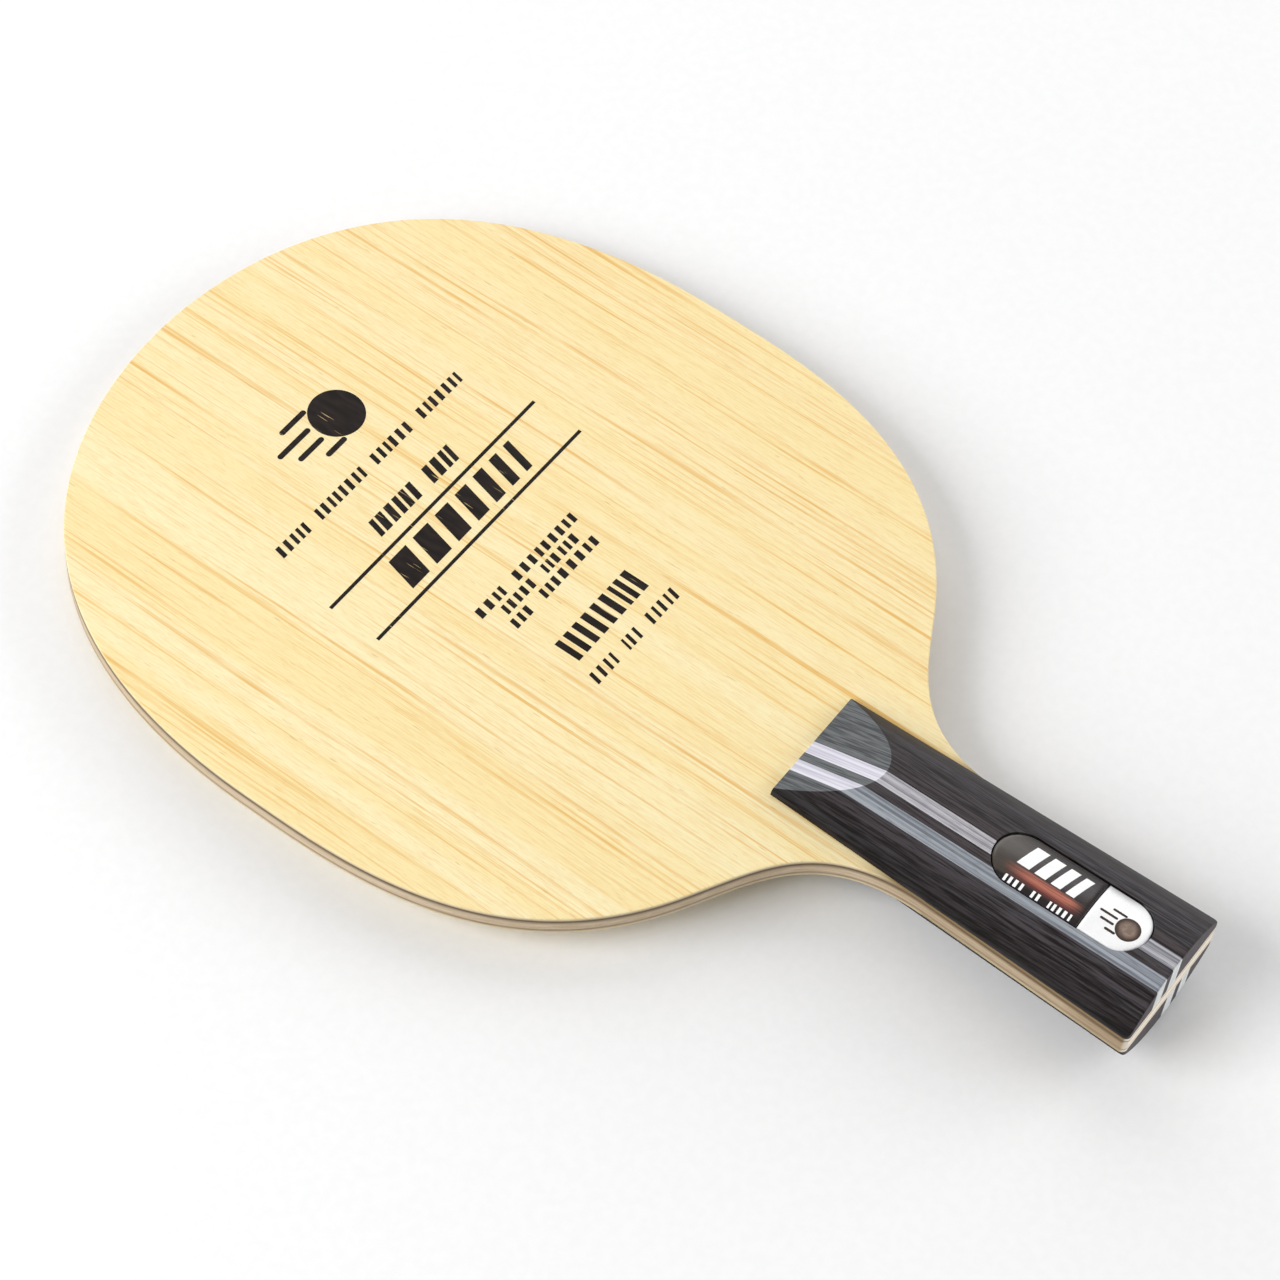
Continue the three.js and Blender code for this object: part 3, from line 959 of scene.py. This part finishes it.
def backing_material():
    """Black moulded plate with a faint grain."""
    dark, light = srgb(16, 14, 14), srgb(30, 27, 27)
    material, tree, shader = new_material("badge_backing")
    grain = noise(tree, millimetres(tree), (0.3, 0.3, 0.3), 3.0)
    colour = mixed(tree, between(tree, grain, *SOFT), dark, light)
    roughness = between(tree, grain, *SOFT, 0.45, 0.6)
    finish_material(tree, shader, colour, roughness, grain, FINE_BUMP)
    return material


def dark_panel_material():
    """Brown-grey print that lightens to the round end, with a brushed red band, under gloss, and painted
    shade along both long sides.
    """
    joint_end, round_end = srgb(44, 37, 37), srgb(70, 64, 57)
    # painted shade for the panel's long sides
    right_painted_shade, left_painted_shade = srgb(40, 33, 33), srgb(34, 27, 27)
    dark_red, light_red = srgb(100, 48, 44), srgb(186, 112, 92)

    material, tree, shader = new_material("badge_dark_panel", Coat_Weight=0.5, Coat_Roughness=0.25)
    place = millimetres(tree)
    x, y = parts_of(tree, place)[:2]
    brushed = noise(tree, place, (0.35, 14, 2), 3.0, 0.6, shift=2.6)

    colour = mixed(tree, between(tree, y, -94, -80), joint_end, round_end)
    # painted shade along the right side
    colour = mixed(tree, between(tree, x, 1.5, 6, 0, 0.6), colour, right_painted_shade)
    band_across = maths(tree, "MULTIPLY", between(tree, x, -4.3, -3.4), between(tree, x, -1.0, -1.8))
    band_along = maths(tree, "MULTIPLY", between(tree, y, -102, -98), between(tree, y, -83, -91))
    band = maths(tree, "MULTIPLY", band_across, band_along)
    band = maths(tree, "MULTIPLY", band, between(tree, brushed, 0.3, 0.55, 0.45, 1.0))
    red = mixed(tree, between(tree, x, -3.8, -2.2), dark_red, light_red)
    colour = mixed(tree, band, colour, red)
    # painted shade along the left side
    colour = mixed(tree, between(tree, x, -4.0, -4.6), colour, left_painted_shade)

    roughness = between(tree, brushed, *SOFT, 0.22, 0.34)
    finish_material(tree, shader, colour, roughness, brushed, DARK_PANEL_BUMP)
    return material


def light_panel_material():
    """White print under gloss, faintly uneven, with painted shade along its right side."""
    white, off_white, painted_edge_shade = srgb(251, 251, 251), srgb(246, 246, 246), srgb(128, 128, 132)
    material, tree, shader = new_material("badge_light_panel", Coat_Weight=0.5, Coat_Roughness=0.2)
    place = millimetres(tree)
    x, y = parts_of(tree, place)[:2]
    uneven = noise(tree, place, (2.5, 2.5, 2.5), 2.0, shift=5.5)
    colour = mixed(tree, between(tree, uneven, *SOFT), white, off_white)
    # painted shade along the panel's right side
    shade = maths(tree, "MULTIPLY", between(tree, x, 4.2, 6.2), between(tree, y, -113, -106, 0, 0.65))
    colour = mixed(tree, shade, colour, painted_edge_shade)
    roughness = between(tree, uneven, *SOFT, 0.2, 0.3)
    finish_material(tree, shader, colour, roughness, uneven, PRINT_BUMP)
    return material


def ink_material(name, light, dark, missing=None):
    """Printing ink, slightly uneven. On wood it misses a few fibres, which show as missing's colour."""
    material, tree, shader = new_material(name, Specular_IOR_Level=INK_SPECULAR)
    place = wavering(tree, millimetres(tree), *VENEER_DRIFT)
    cloud = noise(tree, place, (1.2, 6, 1.2), 3.0, shift=6.6)
    colour = mixed(tree, between(tree, cloud, *FIRM), light, dark)
    if missing:
        scratches = noise(tree, place, (0.4, 9, 0.4), 2.0, shift=0.4)
        colour = mixed(tree, between(tree, scratches, 0.7, 0.76, 0, 0.7), colour, missing)
    roughness = between(tree, cloud, *SOFT, 0.4, 0.55)
    finish_material(tree, shader, colour, roughness, cloud, PRINT_BUMP)
    return material


def badge_ink_material():
    """Brown ink of the badge's ball, which pales to the ball's middle."""
    light, dark, rim = srgb(152, 130, 116), srgb(126, 110, 100), srgb(66, 54, 48)
    material, tree, shader = new_material("brown_ink", Specular_IOR_Level=INK_SPECULAR)
    place = millimetres(tree)
    middle = (BALL_X / MM, BALL_Y / MM, badge_surface(BALL_X, BALL_Y) / MM)
    distance = node(tree, "ShaderNodeVectorMath", {0: place, 1: middle}, operation="DISTANCE")
    cloud = noise(tree, place, (1.2, 1.2, 1.2), 3.0, shift=6.6)
    colour = mixed(tree, between(tree, cloud, *FIRM), light, dark)
    colour = mixed(tree, between(tree, distance.outputs["Value"], 0.9, 2.4), colour, rim)
    roughness = between(tree, cloud, *SOFT, 0.4, 0.55)
    finish_material(tree, shader, colour, roughness, cloud, PRINT_BUMP)
    return material


def floor_material():
    """Matt white studio paper."""
    white, off_white = srgb(246, 246, 246), srgb(244, 244, 244)
    material, tree, shader = new_material("floor_paper", Specular_IOR_Level=0.1)
    tooth = noise(tree, millimetres(tree), (2, 2, 2), 3.0)
    colour = mixed(tree, between(tree, tooth, *SOFT), white, off_white)
    roughness = between(tree, tooth, *SOFT, 0.8, 0.9)
    finish_material(tree, shader, colour, roughness, tooth, FINE_BUMP)
    return material


# ---- Assembly ----


def place_piece(piece, material, slot, *nodes):
    """Gives a piece its material, makes it ride on the paddle, and hides the CAD nodes it takes the
    place of.
    """
    piece.data.materials.append(material)
    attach(piece, "root")
    if nodes:
        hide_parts(*nodes)


def build_blade(veneer, core, carbon):
    layers = [
        ("front_face_ply", veneer, "face_veneer", 1),
        ("front_carbon_ply", carbon, "carbon_ply", 0),
        ("core_ply", core, "core_wood", 0),
        ("back_carbon_ply", carbon, "carbon_ply", 0),
        ("back_face_ply", veneer, "face_veneer", -1),
    ]
    for cad_node, material, slot, eased_side in layers:
        low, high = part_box(cad_node)
        piece = ply(f"{cad_node}_fine", low.z, high.z, eased_side)
        place_piece(piece, material, slot, cad_node)


def build_handle(dark, left_grey, right_grey):
    edges = [None, *GLUE_LINES, None]
    strips = [
        ("left_block", dark, "handle_dark_wood"),
        ("left_stripe", left_grey, "handle_grey_wood"),
        ("middle_strip", dark, "handle_dark_wood"),
        ("right_stripe", right_grey, "handle_grey_wood"),
        ("right_block", dark, "handle_dark_wood"),
    ]
    for block, side in (("front_handle", 1), ("back_handle", -1)):
        for i, (strip, material, slot) in enumerate(strips):
            cad_node = f"{block}_{strip}"
            piece = handle_strip(side, f"{cad_node}_fine", edges[i], edges[i + 1])
            place_piece(piece, material, slot, cad_node)


def build_badge():
    pieces = [
        (badge_backing("badge_backing_fine"), backing_material(), "badge_backing"),
        (badge_panel("badge_dark_panel_fine", 1), dark_panel_material(), "badge_dark_panel"),
        (badge_panel("badge_light_panel_fine", -1), light_panel_material(), "badge_light_panel"),
    ]
    for piece, material, slot in pieces:
        place_piece(piece, material, slot, slot)


def build_print():
    wood = srgb(226, 193, 135)
    black = ink_material("black_ink", srgb(31, 20, 15), srgb(19, 12, 9), wood)
    white = ink_material("white_ink", srgb(252, 252, 252), srgb(247, 247, 247))
    brown = badge_ink_material()
    flat = print_piece("front_print", face_marks(), lambda x, y: FACE_Z, None)
    bars = print_piece("badge_bars_print", badge_bar_marks(), badge_surface, BEND_STEP)
    ball = print_piece("badge_ball_print", badge_ball_marks(), badge_surface, BEND_STEP)
    place_piece(flat, black, None)
    place_piece(bars, white, None)
    place_piece(ball, brown, None)


# ---- Stage ----

CAMERA_AZIMUTH = math.radians(-59.03)
CAMERA_ELEVATION = math.radians(55.66)
CAMERA_ROLL = math.radians(6.60)
CAMERA_TARGET = Vector((-0.74, 0.66, 2.5)) * MM
CAMERA_DISTANCE = 774.77 * MM
CAMERA_LENS = 112.69
CAMERA_CLIP = 10 * MM  # nearest distance that the camera sees

WORLD_STRENGTH = 0.25
FLOOR_HALF = 12.0  # half the length of the floor's side
FLOOR_CLEARANCE = 0.05 * MM  # between the floor and the paddle

SOFTBOXES = [  # name, direction, distance, width, power (W), whether gloss mirrors it
    ("key", (-0.7, 0.45, 0.55), 1.5, 1.0, 22, False),
    ("back", (0.62, 0.55, 0.55), 1.3, 1.3, 8, True),
    ("low", (0.75, -0.65, 0.15), 1.3, 1.0, 15, False),
    ("front", (-0.35, -0.9, 0.2), 1.3, 1.0, 2, False),
]


def from_angles(azimuth, elevation):
    """Unit vector towards a viewer: azimuth 0 stands on the -Y side, 90 degrees on the +X side."""
    level = math.cos(elevation)
    return Vector((math.sin(azimuth) * level, -math.cos(azimuth) * level, math.sin(elevation)))


def add_camera():
    back = from_angles(CAMERA_AZIMUTH, CAMERA_ELEVATION)
    right = Vector((0, 0, 1)).cross(back).normalized()
    up = back.cross(right)
    turned_right = right * math.cos(CAMERA_ROLL) + up * math.sin(CAMERA_ROLL)
    turned_up = up * math.cos(CAMERA_ROLL) - right * math.sin(CAMERA_ROLL)
    data = bpy.data.cameras.new("camera")
    data.lens = CAMERA_LENS
    data.clip_start = CAMERA_CLIP
    camera = bpy.data.objects.new("camera", data)
    camera.matrix_world = Matrix((turned_right, turned_up, back)).transposed().to_4x4()
    camera.location = CAMERA_TARGET + back * CAMERA_DISTANCE
    bpy.context.scene.collection.objects.link(camera)
    bpy.context.scene.camera = camera


def add_softbox(name, direction, distance, width, power, mirrored):
    """A square area light that faces the middle of the paddle. Gloss shows it only if mirrored."""
    data = bpy.data.lights.new(name, "AREA")
    data.shape = "SQUARE"
    data.size = width
    data.energy = power
    light = bpy.data.objects.new(name, data)
    towards = Vector(direction).normalized()
    light.location = towards * distance
    light.rotation_mode = "QUATERNION"
    light.rotation_quaternion = towards.to_track_quat("Z", "Y")
    light.visible_glossy = mirrored
    bpy.context.scene.collection.objects.link(light)


def add_world():
    world = bpy.data.worlds.new("studio")
    world.use_nodes = True
    background = world.node_tree.nodes["Background"]
    background.inputs["Color"].default_value = (1, 1, 1, 1)
    background.inputs["Strength"].default_value = WORLD_STRENGTH
    bpy.context.scene.world = world


def add_floor():
    """A floor that the paddle lies on: it touches the tip of the head and the back of the handle."""
    back_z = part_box("back_face_ply")[0].z
    slope = 0.0
    for name, cad_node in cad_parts.items():
        if name.startswith("back_handle"):
            for vertex in cad_node.data.vertices:
                slope = max(slope, (back_z - vertex.co.z) / (TIP_Y - vertex.co.y))
    bm = bmesh.new()
    corners = []
    for side_x, side_y in ((-1, -1), (1, -1), (1, 1), (-1, 1)):
        x, y = side_x * FLOOR_HALF, side_y * FLOOR_HALF
        corners.append((x, y, back_z + (y - TIP_Y) * slope - FLOOR_CLEARANCE))
    bm.faces.new(add_ring(bm, corners))
    floor = mesh_object("floor", bm)
    floor.data.materials.append(floor_material())


def grey_woods():
    """The woods of the left and right stripes, which differ in tone."""
    # the butt tones differ from the head tones by painted light on the left stripe and painted shade on
    # the right
    left_head = (srgb(160, 165, 172), srgb(108, 113, 121))
    left_butt = (srgb(164, 168, 176), srgb(112, 117, 126))
    right_head = (srgb(190, 187, 192), srgb(126, 124, 130))
    right_butt = (srgb(182, 181, 187), srgb(118, 118, 125))
    return (grey_wood_material("handle_grey_wood_left", left_head, left_butt),
            grey_wood_material("handle_grey_wood_right", right_head, right_butt))


def build():
    build_blade(veneer_material(), core_material(), carbon_material())
    build_handle(dark_wood_material(), *grey_woods())
    build_badge()
    build_print()


def light_and_view():
    bpy.context.scene.view_settings.view_transform = "Standard"
    add_world()
    for softbox in SOFTBOXES:
        add_softbox(*softbox)
    add_floor()
    add_camera()


build()
light_and_view()
